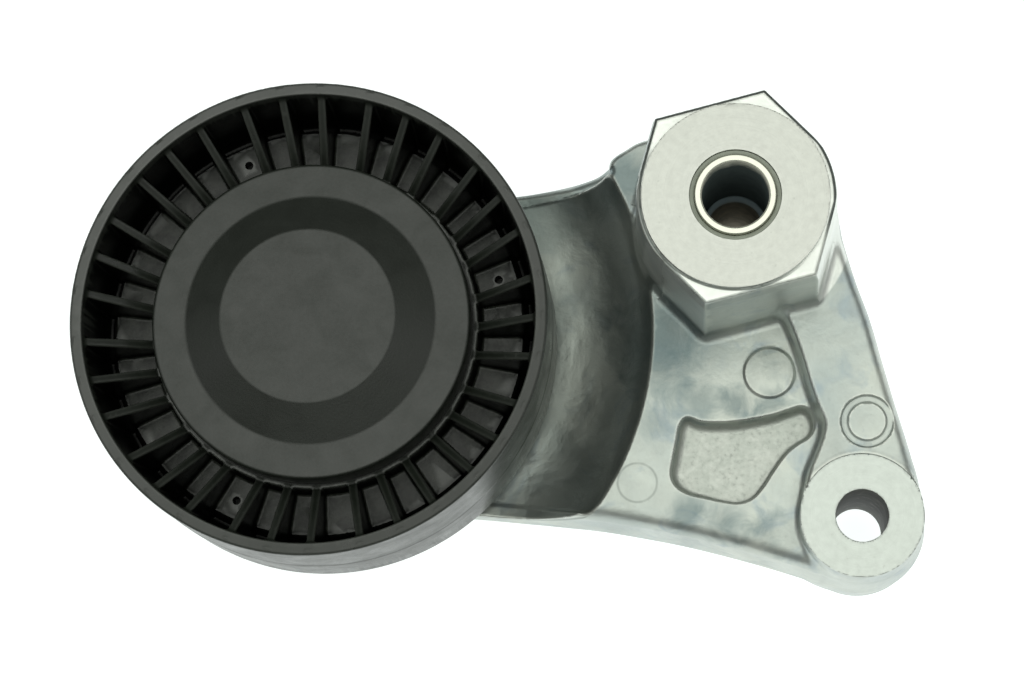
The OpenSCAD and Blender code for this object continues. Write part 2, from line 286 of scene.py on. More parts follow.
def solid_piece(name, f, lo, hi, h, most=190000):
    """One closed skin of f = 0 with true surface normals and curvature attributes; the edge one drives wear, painted
    shade in creases and painted highlights on convex edges in the materials.
    """
    verts, quads = contour(f, lo, hi, h)
    me = mesh_from(name, verts, quads)
    o = link(name, me)
    tris = 2 * len(quads)
    if tris > most:
        mod = o.modifiers.new("thin", "DECIMATE")
        mod.ratio = most / tris
        mod.use_collapse_triangulate = True
        dg = bpy.context.evaluated_depsgraph_get()
        dg.update()
        thin = bpy.data.meshes.new_from_object(o.evaluated_get(dg))
        o.modifiers.clear()
        o.data = thin
        bpy.data.meshes.remove(me)
        me = thin
        me.name = name
    me.polygons.foreach_set("use_smooth", np.ones(len(me.polygons), bool))
    co = np.zeros(len(me.vertices) * 3, np.float32)
    me.vertices.foreach_get("co", co)
    co = co.reshape(-1, 3).astype(float) / MM
    vi = np.zeros(len(me.loops), np.int32)
    me.loops.foreach_get("vertex_index", vi)
    mid = np.zeros(len(me.polygons) * 3, np.float32)
    me.polygons.foreach_get("center", mid)
    mid = mid.reshape(-1, 3).astype(float) / MM
    start = np.zeros(len(me.polygons), np.int32)
    me.polygons.foreach_get("loop_total", start)
    owner = np.repeat(np.arange(len(me.polygons)), start)
    d = mid[owner] - co[vi]
    ln = np.linalg.norm(d, axis=1, keepdims=True)
    p = co[vi] + d / np.maximum(ln, 1e-9) * np.minimum(0.09, 0.4 * ln)
    nrm = slope(f, p, 0.04)
    me.normals_split_custom_set(nrm.astype(np.float32))
    f0 = run(f, co)
    for label, e in (("edge", 0.45), ("form", 1.6)):
        lap = sum(run(f, co + s) for s in np.vstack([np.eye(3), -np.eye(3)]) * e) - 6 * f0
        at = me.attributes.new(label, "FLOAT", "POINT")
        at.data.foreach_set("value", np.clip(lap / e, -1.5, 1.5).astype(np.float32))
    return o, mid


def lathe(name, profile, cx, cy, seg=192, sharp=38.0):
    """A closed turned piece: profile is a loop of (r, z) in mm, counter-clockwise as seen with r to the right and z up."""
    prof = np.array(profile, float)
    n = len(prof)
    a = np.arange(seg) * 2 * math.pi / seg
    verts, index = [], np.zeros((n, seg), int)
    k = 0
    for i, (r, z) in enumerate(prof):
        if r < 1e-6:
            verts.append([(cx, cy, z)])
            index[i] = k
            k += 1
        else:
            verts.append(np.stack([cx + r * np.cos(a), cy + r * np.sin(a), np.full(seg, z)], 1))
            index[i] = k + np.arange(seg)
            k += seg
    verts = np.vstack(verts)
    me = bpy.data.meshes.new(name)
    faces = []
    for i in range(n):
        j = (i + 1) % n
        if prof[i][0] < 1e-6 and prof[j][0] < 1e-6:
            continue
        for s in range(seg):
            t = (s + 1) % seg
            q = [index[i][s], index[i][t], index[j][t], index[j][s]]
            q = [v for m_, v in enumerate(q) if v not in q[:m_]]
            faces.append([int(v) for v in q])
    me.from_pydata([tuple(v * MM for v in p) for p in verts.tolist()], [], faces)
    me.update()
    me.polygons.foreach_set("use_smooth", np.ones(len(me.polygons), bool))
    me.set_sharp_from_angle(angle=math.radians(sharp))
    return link(name, me)


def rounded(profile, steps=4):
    """The loop of (r, z, radius) corners with each corner rounded."""
    pts = []
    n = len(profile)
    for i in range(n):
        p0, p1, p2 = (np.array(profile[(i + k) % n][:2], float) for k in (-1, 0, 1))
        rad = profile[i][2]
        if rad <= 0 or p1[0] < 1e-6:
            pts.append(tuple(p1))
            continue
        u, v = (p0 - p1) / np.linalg.norm(p0 - p1), (p2 - p1) / np.linalg.norm(p2 - p1)
        half = math.acos(max(-1, min(1, float(u @ v)))) / 2
        t = min(rad / math.tan(half), 0.45 * np.linalg.norm(p0 - p1), 0.45 * np.linalg.norm(p2 - p1))
        rad = t * math.tan(half)
        c = p1 + (u + v) / np.linalg.norm(u + v) * (rad / math.sin(half))
        s, e = p1 + u * t - c, p1 + v * t - c
        a0, a1 = math.atan2(s[1], s[0]), math.atan2(e[1], e[0])
        da = (a1 - a0 + math.pi) % (2 * math.pi) - math.pi
        for k in range(steps + 1):
            a = a0 + da * k / steps
            pts.append((c[0] + rad * math.cos(a), c[1] + rad * math.sin(a)))
    return pts


# ------------------------------------------------------------------ lever casting
lever_line = spline(
    arc(PX, PY, 24.6, 84, 268, 40)
    + [(-52, -42.3), (-46, -42.8), (-40, -43.2), (-33.5, -43.8), (-27.4, -44.4), (-21, -45.1), (-15, -46.1), (-8.8, -47.3),
       (-2.6, -48.8), (3.6, -50.5), (8.2, -51.9), (13.0, -53.4)]
    + arc(EX, EY, 9.72, -112, 8, 18)
    + [(27.5, -38.6), (26.5, -34.8), (25.5, -31.2), (24.2, -26.8), (22.6, -21), (20.6, -13.6), (18.75, -8.3), (17.15, -2.9), (15.9, 1.8)]
    + arc(0, 0, 15.5, 16, 112, 14)
    + [(-9.6, 15.2), (-13.2, 15.0), (-15.4, 14.3), (-17.0, 13.3), (-18.6, 12.3), (-19.9, 11.15), (-21.4, 10.15), (-24, 9.2), (-28, 8.3), (-34, 7.4), (-40, 6.85), (-48, 6.7), (-54, 6.75)])
band_line = spline([(4.2, -9), (6.9, -14.2), (8.6, -18.4), (9.7, -22), (10.6, -25.2), (11.7, -28.4), (12.55, -30.6), (12.35, -32.4), (11.5, -34.8),
                    (10.2, -38), (9.9, -40.6), (10.4, -44.0), (11.0, -46.8), (12.0, -49.4), (13.6, -52.0), (16.0, -56), (22, -60), (34, -60),
                    (40, -50), (40, -20), (36, 4), (22, 8), (8, 4), (2, -4)])
pocket_line = spline([(-7.5, -29.1), (-5.4, -29.75), (-2.6, -29.9), (0, -29.75), (3, -29.3), (5.8, -28.7), (8.2, -27.9), (9.9, -27.5), (11.0, -28.2),
                      (11.6, -29.8), (11.5, -31.2), (10.7, -32.3), (9.2, -33.2), (7.5, -34.6), (5.6, -37.1), (3.9, -39.7),
                      (2.3, -41.4), (0.3, -42.1), (-1.8, -41.9), (-4.6, -41.3), (-7.4, -40.6), (-9.1, -39.5), (-9.85, -37.8), (-9.6, -35.6),
                      (-9.0, -32.6), (-8.5, -30.2)])
rear = [([(-47, -38.5), (-37, -39.2), (-37, -22), (-38.6, -22), (-41, -29), (-47, -35.4)], 7.5),
        ([(-47, 3.2), (-37, 3.2), (-37, -12.8), (-38.6, -12.8), (-41, -5.8), (-47, 0.6)], 7.5),
        ([(-33.5, -40), (-23, -40.6), (-23, -19.4), (-33.5, -19.4)], 8.5),
        ([(-33.5, -15.6), (-23, -15.6), (-23, 5.4), (-33.5, 3.4)], 8.5),
        ([(-19, -41), (-16.6, -41.4), (-13.4, -30), (-12.4, -19.4), (-19, -19.4)], 9.0),
        ([(-12, -42), (-4.6, -43.4), (-4.6, -19.4), (-8.6, -19.4), (-9.6, -30)], 13.5),
        ([(-1, -44.2), (6, -46.2), (6, -19.4), (-1, -19.4)], 13.5),
        ([(-19, -15.8), (-16.6, -12), (-17.6, 0), (-16, 8.4), (-19, 7.6)], 9.0),
        ([(9.6, -17.6), (14.6, -14.6), (19.4, -31.4), (9.6, -31.4)], 13.8)]
for a in (-90, 90, 150, 210):
    c, s = math.cos(math.radians(a)), math.sin(math.radians(a))
    rear.append(([(PX + c * u - s * v, PY + s * u + c * v) for u, v in ((12, -4), (20.4, -6.4), (20.4, 6.4), (12, 4))], 7.6))

T_LEVER = Flat(lever_line, band=9.0)
T_BAND = Flat(band_line, band=8.0)
T_POCKET = Flat(pocket_line, band=5.0)
T_REAR = Flat([np.array(p, float) for p, _ in rear], h=0.25, band=7.0, soften=6, tags=[z for _, z in rear])


def hexagon(x, y, z):
    """The pivot boss: six drafted flats, two of the corners turned off."""
    low = 14.7 + np.maximum(38.5 - z, 0) * 0.026
    high = 14.7 - np.maximum(z - 38.5, 0) * 0.17
    half = np.where(z < 38.5, low, high)
    d = None
    for k in range(6):
        a = math.radians(HEX_ROT + 30 + 60 * k)
        f = x * math.cos(a) + y * math.sin(a) - half
        d = f if d is None else both(d, f, 0.2)
    r = np.sqrt(x * x + y * y)
    for k, rt in ((0, 14.85), (3, 14.55)):
        a = math.radians(HEX_ROT + 60 * k)
        s = x * math.cos(a) + y * math.sin(a)
        turned = np.where(s > 0.88 * r, r - (rt + np.maximum(38.5 - z, 0) * 0.026 - np.maximum(z - 38.5, 0) * 0.1), -9.0)
        d = both(d, turned, 0.3)
    # the sawn top face with its edge broken
    flat = both(d, z - (BOSS_Z - 1.0), 0.12)
    return both(flat, (d + 0.42) * 0.5 + (z - (BOSS_Z - 1.0)) * 0.866, 0.15)


def lever(x, y, z):
    t = T_LEVER(x, y)
    side = t + np.maximum(z - PART_Z, 0) * 0.085 + np.maximum(PART_Z - z, 0) * 0.11
    base = both(side, z - PLATE_Z, 2.5 - 1.6 * np.clip(y / 8, 0, 1))
    # raised band along the right edge
    inner = T_BAND(x, y) + (z - PLATE_Z) * 0.11
    band = both(both(side, z - BAND_Z, 1.5), inner, 0.55)
    f = either(base, band, 0.9)
    # hollow that the pulley runs in
    r = np.sqrt((x - SX) ** 2 + (y - SY) ** 2)
    qa, qb = r - SR - 1.6 + 14.0, ARM_Z - z + 14.0
    hollow = np.minimum(np.maximum(qa, qb), 0) + np.sqrt(np.maximum(qa, 0) ** 2 + np.maximum(qb, 0) ** 2) - 14.0
    lift = 0.15 + 1.1 * np.clip((x + 32) / 9, 0, 1)
    ledge = both(both(r - 48.7, ARM_Z + lift - z, 1.2), -(T_LEVER(x, y) + 2.05), 0.3)
    f = cut(f, np.where(y > -2, ledge, hollow + lift), 0.3 + 1.1 * np.clip((y - 4) / 4, 0, 1))
    f = cut(f, both(hollow, T_LEVER(x, y) + 2.05 - (z - ARM_Z) * 0.12, 0.6), 0.35)
    # shallow pocket, drafted walls
    soft = 0.9 + 0.45 * np.clip(((y + 35) * 0.9 - (x - 0.5) * 0.5) / 4, -1, 1)
    pocket = both(T_POCKET(x, y) - (z - PLATE_Z) * 0.08, (PLATE_Z - 3.0) - z, soft)
    f = cut(f, pocket, 0.4)
    # pivot boss
    rp = np.sqrt(x * x + y * y)
    f = either(f, hexagon(x, y, z), 1.5)
    disc = both(both(rp - 13.72, z - BOSS_Z, 0.12), 30 - z, 0.1)
    f = np.minimum(f, disc)
    # strut eye
    re = np.sqrt((x - EX) ** 2 + (y - EY) ** 2)
    eye = both(re - (9.4 - (z - PART_Z) * 0.018), z - (BAND_Z - 0.5), 0.12)
    f = either(f, eye, 1.0)
    f = np.maximum(f, -both(re - 9.2, (BAND_Z - 0.5) - z, 0.12))
    f = cut(f, re - 3.9, 0.12)
    # ejector marks
    e2 = np.sqrt((x - 5.0) ** 2 + (y + 22.4) ** 2)
    dome = both(e2 - 3.8, z - (PLATE_Z + 0.6 - 0.018 * np.minimum(e2, 4.0) ** 2), 0.3)
    f = either(f, np.maximum(dome, 15 - z), 0.35)
    e3 = np.sqrt((x - 19.3) ** 2 + (y + 30.6) ** 2)
    f = cut(f, both(e3 - 3.85, (BAND_Z - 0.4) - z, 0.2), 0.3)
    f = either(f, both(both(e3 - 2.85, z - (BAND_Z - 0.08), 0.25), 20 - z, 0.1), 0.25)
    # seat of the pulley
    rq = np.sqrt((x - PX) ** 2 + (y - PY) ** 2)
    f = either(f, both(both(rq - 11.1, z - 19.5, 0.3), 5 - z, 0.1), 0.8)
    f = np.minimum(f, both(both(rq - 8.48, z - 31.5, 0.4), 5 - z, 0.1))
    f = np.maximum(f, -both(rq - 4.7, 8 - z, 0.1))
    # rear plane and its cored pockets
    f = both(f, REAR_Z - z, 0.9)
    core = both(T_REAR(x, y) + (z - REAR_Z) * 0.03, z - T_REAR.nearest(x, y), 0.9)
    f = cut(f, core, 0.5)
    # pivot bore
    return np.maximum(f, -(rp - np.where(z > 38.8, 6.72, 7.0)))


h_lever = 0.36
casting, mid = solid_piece("lever_body", lever, (-88, -57, -1.5), (30.5, 18.5, 43), h_lever)
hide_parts("lever_casting")


# ------------------------------------------------------------------ pulley
RIBS = np.radians([22.3 + 360 / 11 * g + 10.1 * k for g in range(11) for k in range(3)])
RIBS = np.sort(RIBS % (2 * math.pi))
MIDS = np.concatenate([(RIBS + np.roll(RIBS, -1)) / 2])
MIDS[-1] = (RIBS[-1] + RIBS[0] + 2 * math.pi) / 2


def pulley(x, y, z):
    x, y = x - PX, y - PY
    r = np.sqrt(x * x + y * y)
    th = np.arctan2(y, x) % (2 * math.pi)
    k = np.searchsorted(RIBS, th)
    a, b = RIBS[(k - 1) % 33], RIBS[k % 33]
    da, db = np.abs((th - a + math.pi) % (2 * math.pi) - math.pi), np.abs((th - b + math.pi) % (2 * math.pi) - math.pi)
    lat = r * np.sin(np.minimum(np.minimum(da, db), 1.2))
    inner_f = 33.2 - np.maximum(PZ1 - z, 0) * 0.045
    inner_r = 33.2 - np.maximum(z - PZ0, 0) * 0.06
    inner = np.where(z > 27.8, inner_f, inner_r)
    rim = both(both(r - PR, z - PZ1, 0.45), PZ0 - z, 0.45)
    rim = both(rim, inner - r, 0.25)
    floor = 29.3 - 2.2 * np.clip((r - 30.6) / 0.9, 0, 1)
    web = np.maximum(np.maximum((z - floor) * 0.5, 25.0 - z), np.maximum(21 - r, r - 34.5))
    hub = both(both(r - (24.27 + np.abs(z - 27.8) * -0.01), z - 33.3, 0.3), 19.7 - z, 0.3)
    hub = both(hub, 20.0 - r, 0.1)
    lips = np.maximum(np.maximum(18.8 - r, r - 21), np.minimum(np.maximum(z - 33.3, 32.5 - z), np.maximum(z - 20.5, 19.7 - z)))
    hub = np.minimum(hub, lips)
    f = either(either(rim, web, 0.9), hub, 0.8)
    zt = 33.3 + (r - 24.3) * 0.86
    zb = 21.4 - (r - 24.3) * 0.36
    band = np.maximum(r - 34.2, 22.5 - r)
    fr = both(both(lat - (0.56 + (42 - z) * 0.012), (z - zt) * 0.76, 0.3), np.maximum(27 - z, band), 0.05)
    bk = both(both(lat - (0.56 + (z - 17) * 0.012), (zb - z) * 0.94, 0.3), np.maximum(z - 28, band), 0.05)
    f = either(f, np.minimum(fr, bk), 0.45)
    for deg in (16.0, 113.4, 245.1):
        c, s = math.cos(math.radians(deg)), math.sin(math.radians(deg))
        g = np.sqrt((x - 28.0 * c) ** 2 + (y - 28.0 * s) ** 2)
        f = np.maximum(f, -np.maximum(g - 0.62, 26.9 - z))
    return f


h_pulley = 0.33
wheel, _ = solid_piece("pulley_wheel", pulley, (PX - PR - 1, PY - PR - 1, PZ0 - 1), (PX + PR + 1, PY + PR + 1, PZ1 + 1), h_pulley)
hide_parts("pulley_body")

cap = lathe("dust_cover", rounded([
    (0, 42.2, 0), (0, 40.4, 0), (12.3, 40.4, 0.5), (17.8, 36.8, 0.8), (22.1, 36.8, 0.5), (22.1, 31.9, 0.2), (22.55, 31.9, 0.2),
    (22.55, 33.35, 0), (23.5, 33.35, 0.15), (23.5, 38.6, 0.55), (18.5, 38.6, 1.1), (12.8, 42.2, 0.9)], 6), PX, PY, seg=256)
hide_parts("dust_cap")

sleeve = lathe("steel_sleeve", rounded([
    (4.2, 0.05, 0.4), (5.97, 0.05, 0.4), (5.97, 42.3, 0.25), (4.9, 42.3, 0.3), (4.9, 20.2, 0.15), (4.2, 19.6, 0.2)], 6), 0, 0, seg=192)
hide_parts("pivot_sleeve")

seal = lathe("boss_seal", rounded([
    (6.03, 39.0, 0), (6.70, 39.0, 0), (6.70, 41.75, 0.15), (6.03, 41.55, 0.12)], 4), 0, 0, seg=160)
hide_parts("pivot_seal_front")

for piece, body in ((casting, "lever"), (wheel, "pulley"), (cap, "pulley"), (sleeve, "pivot"), (seal, "lever")):
    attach(piece, body)


# ------------------------------------------------------------------ materials
class Paint:
    def __init__(self, name, color, metallic=0.0, roughness=0.5, **sockets):
        self.m = bpy.data.materials.new(name)
        self.m.use_nodes = True
        self.t = self.m.node_tree
        self.t.nodes.clear()
        self.out = self.t.nodes.new("ShaderNodeOutputMaterial")
        self.b = self.t.nodes.new("ShaderNodeBsdfPrincipled")
        self.t.links.new(self.b.outputs[0], self.out.inputs[0])
        self.b.inputs["Base Color"].default_value = (*color, 1)
        self.b.inputs["Metallic"].default_value = metallic
        self.b.inputs["Roughness"].default_value = roughness
        for k, v in sockets.items():
            self.b.inputs[k.replace("_", " ")].default_value = v
        c = self.t.nodes.new("ShaderNodeTexCoord")
        self.co = c.outputs["Object"]

    def put(self, kind, inputs=(), **props):
        n = self.t.nodes.new(kind)
        for k, v in props.items():
            setattr(n, k, v)
        for k, v in dict(inputs).items():
            if hasattr(v, "is_linked"):
                self.t.links.new(v, n.inputs[k])
            else:
                n.inputs[k].default_value = v
        return n

    def noise(self, size_mm, detail=2.0, rough=0.5, warp=0.0, at=None, stretch=None, offset=(0, 0, 0)):
        at = at or self.co
        if stretch or any(offset):
            at = self.put("ShaderNodeMapping", {"Vector": at, "Scale": stretch or (1, 1, 1), "Location": offset}).outputs[0]
        n = self.put("ShaderNodeTexNoise", {"Vector": at, "Scale": 1000.0 / size_mm, "Detail": detail, "Roughness": rough, "Distortion": warp})
        return n.outputs["Fac"]

    def ramp(self, fac, stops):
        n = self.put("ShaderNodeValToRGB", {"Fac": fac})
        e = n.color_ramp.elements
        while len(e) < len(stops):
            e.new(0.5)
        for el, (p, c) in zip(e, stops):
            el.position = p
            el.color = (*c, 1) if hasattr(c, "__len__") else (c, c, c, 1)
        return n.outputs[0]

    def span(self, v, a, b, c, d):
        return self.put("ShaderNodeMapRange", {"Value": v, "From Min": a, "From Max": b, "To Min": c, "To Max": d}, clamp=True).outputs[0]

    def math(self, op, a, b=0.0, clamp=False):
        n = self.put("ShaderNodeMath", {0: a, 1: b}, operation=op, use_clamp=clamp)
        return n.outputs[0]

    def mix(self, fac, a, b, how="MIX"):
        n = self.put("ShaderNodeMix", data_type="RGBA", blend_type=how)
        for i, v in ((0, fac), (6, a), (7, b)):
            if hasattr(v, "is_linked"):
                self.t.links.new(v, n.inputs[i])
            elif i:
                n.inputs[i].default_value = (*v, 1)
            else:
                n.inputs[i].default_value = v
        return n.outputs[2]

    def attr(self, name):
        return self.put("ShaderNodeAttribute", attribute_name=name).outputs["Fac"]

    def bump(self, height, distance, strength=1.0, after=None):
        inputs = {"Height": height, "Distance": distance, "Strength": strength}
        if after is not None:
            inputs["Normal"] = after
        return self.put("ShaderNodeBump", inputs).outputs[0]

    def radius(self, cx, cy):
        """Distance from a vertical axis, in mm."""
        m = self.put("ShaderNodeMapping", {"Vector": self.co, "Location": (-1000.0 * cx, -1000.0 * cy, 0), "Scale": (1000.0, 1000.0, 0.0)})
        return self.put("ShaderNodeVectorMath", {0: m.outputs[0]}, operation="LENGTH").outputs["Value"]

    def rings(self, r, per_mm, detail=2.0):
        return self.put("ShaderNodeTexNoise", {"W": r, "Scale": per_mm, "Detail": detail, "Roughness": 0.6}, noise_dimensions="1D").outputs["Fac"]

    def set(self, socket, value):
        self.t.links.new(value, self.b.inputs[socket])
        return self


# patches darkened towards bluish grey (centre x, centre y, inner radius, outer radius, strength): partly real patina,
# partly painted shade
SHADE_AND_PATINA = [(-10.5, -16.5, 2.0, 10.5, 0.80), (-11.6, -21.0, 1.5, 7.0, 0.55), (-33.0, 6.5, 2.0, 11.0, 0.8), (0.3, -27.0, 0.8, 3.6, 0.65), (5.2, -27.2, 0.3, 3.2, 0.6), (-7.5, -43.6, 0.5, 4.0, 0.6),
          (-2.0, -44.9, 0.5, 4.0, 0.6), (4.0, -46.9, 0.6, 3.6, 0.6), (-17.0, 8.0, 1.0, 8.0, 0.75), (13.0, 0.5, 0.5, 4.0, 0.3),
          (-5.6, -26.4, 0.8, 4.4, 0.55), (-12.6, -29.6, 0.8, 3.6, 0.35), (5.8, -21.6, 0.6, 3.0, 0.35)]


def cast_skin(name):
    p = Paint(name, (0.55, 0.58, 0.57), metallic=0.78, roughness=0.42)
    broad = p.noise(15, 3, 0.5, 0.5)
    patch = p.noise(5.0, 4, 0.6, 0.5)
    fine = p.noise(0.5, 3, 0.6)
    grit = p.noise(1.4, 4, 0.7)
    col = p.ramp(broad, [(0.30, (0.42, 0.47, 0.46)), (0.5, (0.53, 0.57, 0.54)), (0.68, (0.61, 0.64, 0.59))])
    blue = p.span(p.noise(9, 3, 0.6, 1.4, offset=(0.3, 0.1, 0)), 0.55, 0.70, 0, 0.6)
    col = p.mix(blue, col, (0.30, 0.37, 0.42))
    col = p.mix(p.span(patch, 0.35, 0.7, 0, 0.30), col, (0.56, 0.58, 0.54))
    # bluish-grey patches where the plate reads darker: partly real patina, partly painted shade
    for cx, cy, r0, r1, k in SHADE_AND_PATINA:
        d = p.math("ADD", p.radius(cx * MM, cy * MM), p.span(patch, 0.25, 0.75, -2.6, 2.6))
        col = p.mix(p.span(d, r0, r1, k, 0), col, (0.13, 0.18, 0.19))
    col = p.mix(p.span(grit, 0.60, 0.75, 0, 0.22), col, (0.25, 0.28, 0.27))
    zmm = p.math("MULTIPLY", p.put("ShaderNodeSeparateXYZ", {0: p.co}).outputs["Z"], 1000.0)
    # painted shade: the hollow beside the pulley is darkened, standing in for its shadow and the pulley's dark
    # reflection in it
    rs = p.radius(SX * MM, SY * MM)
    q = p.span(rs, 36.0, 49.99, 0, 13.99)
    sheer = p.math("POWER", p.math("SUBTRACT", 196.0, p.math("MULTIPLY", q, q)), 0.5)
    above = p.math("ABSOLUTE", p.math("SUBTRACT", p.math("ADD", zmm, sheer), ARM_Z + 14.0))
    hollow_shade = p.math("MULTIPLY", p.span(above, 0.45, 0.9, 1, 0), p.span(rs, 50.5, 50.1, 0, 1))
    hollow_shade = p.math("MULTIPLY", hollow_shade, p.span(p.radius(-0.0335, -0.0395), 3.0, 12.0, 0.45, 1.0))
    col = p.mix(p.math("MULTIPLY", hollow_shade, p.span(broad, 0.35, 0.65, 0.72, 0.52)), col, (0.13, 0.15, 0.135))
    # curvature: creases darkened as painted shade with some dirt; convex edges lightened as wear with a painted
    # highlight
    edge = p.attr("edge")
    col = p.mix(p.span(edge, -0.20, -1.0, 0, 0.28), col, (0.24, 0.27, 0.26))
    col = p.mix(p.span(edge, 0.25, 1.0, 0, 0.5), col, (0.70, 0.72, 0.67))
    p.set("Base Color", col)
    ro = p.math("ADD", p.span(patch, 0.3, 0.7, 0.33, 0.47), p.span(fine, 0.3, 0.7, -0.04, 0.05))
    ro = p.math("SUBTRACT", ro, p.span(edge, 0.2, 1.0, 0, 0.08))
    p.set("Roughness", ro)
    # thin witness line of an ejector pin
    ring = p.radius(-0.0149, -0.0390)
    line = p.math("MULTIPLY", p.span(p.math("ABSOLUTE", p.math("SUBTRACT", ring, 2.95)), 0.04, 0.26, 1, 0), p.span(p.noise(3.0, 2), 0.3, 0.5, 0.5, 1.0))
    line = p.math("MULTIPLY", line, p.span(zmm, 18.0, 19.0, 0, 1))
    old = p.b.inputs["Base Color"].links[0].from_socket
    old = p.mix(p.math("MULTIPLY", line, 0.45), old, (0.16, 0.18, 0.17))
    # sawn land round the top of the hexagon, bright metal painted near-white as a highlight; its broken edge on the far
    # side painted dark as shade
    far = None
    for k in range(6):
        a = math.radians(HEX_ROT + 30 + 60 * k)
        s = p.put("ShaderNodeVectorMath", {0: p.co, 1: (1000 * math.cos(a), 1000 * math.sin(a), 0.0)}, operation="DOT_PRODUCT").outputs["Value"]
        far = s if far is None else p.math("MAXIMUM", far, s)
    far = p.math("SUBTRACT", far, 13.92)
    rp = p.radius(0, 0)
    x_mm = p.math("MULTIPLY", p.put("ShaderNodeSeparateXYZ", {0: p.co}).outputs["X"], 1000.0)
    y_mm = p.math("MULTIPLY", p.put("ShaderNodeSeparateXYZ", {0: p.co}).outputs["Y"], 1000.0)
    for k, limit in ((0, 14.2), (3, 13.9)):
        a = math.radians(HEX_ROT + 60 * k)
        along = p.put("ShaderNodeVectorMath", {0: p.co, 1: (1000 * math.cos(a), 1000 * math.sin(a), 0.0)}, operation="DOT_PRODUCT").outputs["Value"]
        near = p.math("GREATER_THAN", along, p.math("MULTIPLY", rp, 0.88))
        far = p.math("MAXIMUM", far, p.math("ADD", p.math("SUBTRACT", rp, limit + 9.0), p.math("MULTIPLY", near, 9.0)))
    lid = p.math("MULTIPLY", p.span(zmm, BOSS_Z - 1.35, BOSS_Z - 1.25, 0, 1), p.span(rp, 13.70, 13.76, 0, 1))
    land = p.math("MULTIPLY", lid, p.span(far, 0.04, -0.06, 0, 1))
    lit = p.math("ADD", p.math("MULTIPLY", y_mm, 0.9), p.math("MULTIPLY", x_mm, 0.25))
    far_rim_shade = p.math("MULTIPLY", p.math("MULTIPLY", lid, p.span(far, -0.06, 0.04, 0, 1)), p.span(lit, -3.0, 0.0, 0, 1))
    old = p.mix(land, old, (0.90, 0.92, 0.88))
    old = p.mix(far_rim_shade, old, (0.15, 0.165, 0.155))
    # painted highlight: two of the flats lightened, standing in for light falling on them
    a = math.radians(HEX_ROT + 270)
    next_flat = p.put("ShaderNodeVectorMath", {0: p.co, 1: (1000 * math.cos(a), 1000 * math.sin(a), 0.0)}, operation="DOT_PRODUCT").outputs["Value"]
    for deg, k in ((30 + 180, 0.5), (30 + 300, 0.75)):
        a = math.radians(HEX_ROT + deg)
        along = p.put("ShaderNodeVectorMath", {0: p.co, 1: (1000 * math.cos(a), 1000 * math.sin(a), 0.0)}, operation="DOT_PRODUCT").outputs["Value"]
        flat = p.math("MULTIPLY", p.span(along, 13.6, 13.9, 0, k), p.span(rp, 17.6, 17.9, 1, 0))
        flat = p.math("MULTIPLY", flat, p.span(p.math("SUBTRACT", along, next_flat), 0.0, 0.12, 0, 1))
        flat = p.math("MULTIPLY", flat, p.math("MULTIPLY", p.span(zmm, 21.5, 24.0, 0, 1), p.span(zmm, BOSS_Z - 1.6, BOSS_Z - 1.4, 1, 0)))
        old = p.mix(flat, old, (0.92, 0.94, 0.90))
    # painted shade: a dark line round the edge of the faced disc, only on its lower-left side
    low = p.math("ADD", p.math("MULTIPLY", y_mm, -0.77), p.math("MULTIPLY", x_mm, -0.64))
    foot = p.math("MULTIPLY", p.math("MULTIPLY", lid, p.span(rp, 14.0, 14.12, 1, 0)), p.span(low, 1.0, 7.0, 0, 0.85))
    old = p.mix(foot, old, (0.10, 0.115, 0.105))
    p.set("Base Color", old)
    n = p.bump(broad, 0.0009, 0.5)
    n = p.bump(patch, 0.00025, 0.5, n)
    n = p.bump(grit, 0.00003, 0.5, n)
    p.set("Normal", p.bump(fine, 0.000018, 0.6, n))
    return p.m


def cast_rough(name):
    """The pocket's floor: blasted-looking as-cast grain."""
    p = Paint(name, (0.62, 0.65, 0.63), metallic=1.0, roughness=0.5)
    g = p.noise(0.7, 3, 0.65)
    s = p.noise(2.6, 4, 0.65, 0.4)
    col = p.ramp(s, [(0.3, (0.50, 0.53, 0.49)), (0.7, (0.60, 0.62, 0.58))])
    col = p.mix(p.span(g, 0.58, 0.72, 0, 0.35), col, (0.33, 0.35, 0.33))
    # creases darkened: painted shade, with some dirt
    col = p.mix(p.span(p.attr("edge"), -0.20, -1.0, 0, 0.25), col, (0.30, 0.32, 0.31))
    p.set("Base Color", col).set("Roughness", p.span(g, 0.3, 0.7, 0.44, 0.58))
    p.set("Normal", p.bump(g, 0.00006, 0.7, p.bump(s, 0.00012, 0.5)))
    return p.m


def faced(name, cx, cy, tint=(0.70, 0.72, 0.68)):
    """A machined face: fine turning marks round the axis."""
    p = Paint(name, tint, metallic=1.0, roughness=0.4)
    r = p.radius(cx, cy)
    marks = p.rings(r, 7.0, 3.0)
    speck = p.noise(1.1, 4, 0.65)
    fine = p.noise(0.3, 2, 0.5)
    col = p.mix(p.span(marks, 0.3, 0.7, 0, 0.4), tint, tuple(0.93 * c for c in tint))
    col = p.mix(p.span(speck, 0.35, 0.75, 0, 0.65), col, tuple(0.82 * c for c in tint))
    col = p.mix(p.span(p.noise(0.9, 2, 0.5, offset=(0.7, 0.2, 0)), 0.70, 0.76, 0, 0.35), col, (0.42, 0.43, 0.40))
    p.set("Base Color", col).set("Roughness", p.math("ADD", p.span(marks, 0.3, 0.7, 0.36, 0.44), p.span(fine, 0.3, 0.7, -0.03, 0.03)))
    p.set("Normal", p.bump(marks, 0.000008, 0.6, p.bump(speck, 0.00002, 0.4)))
    return p.m


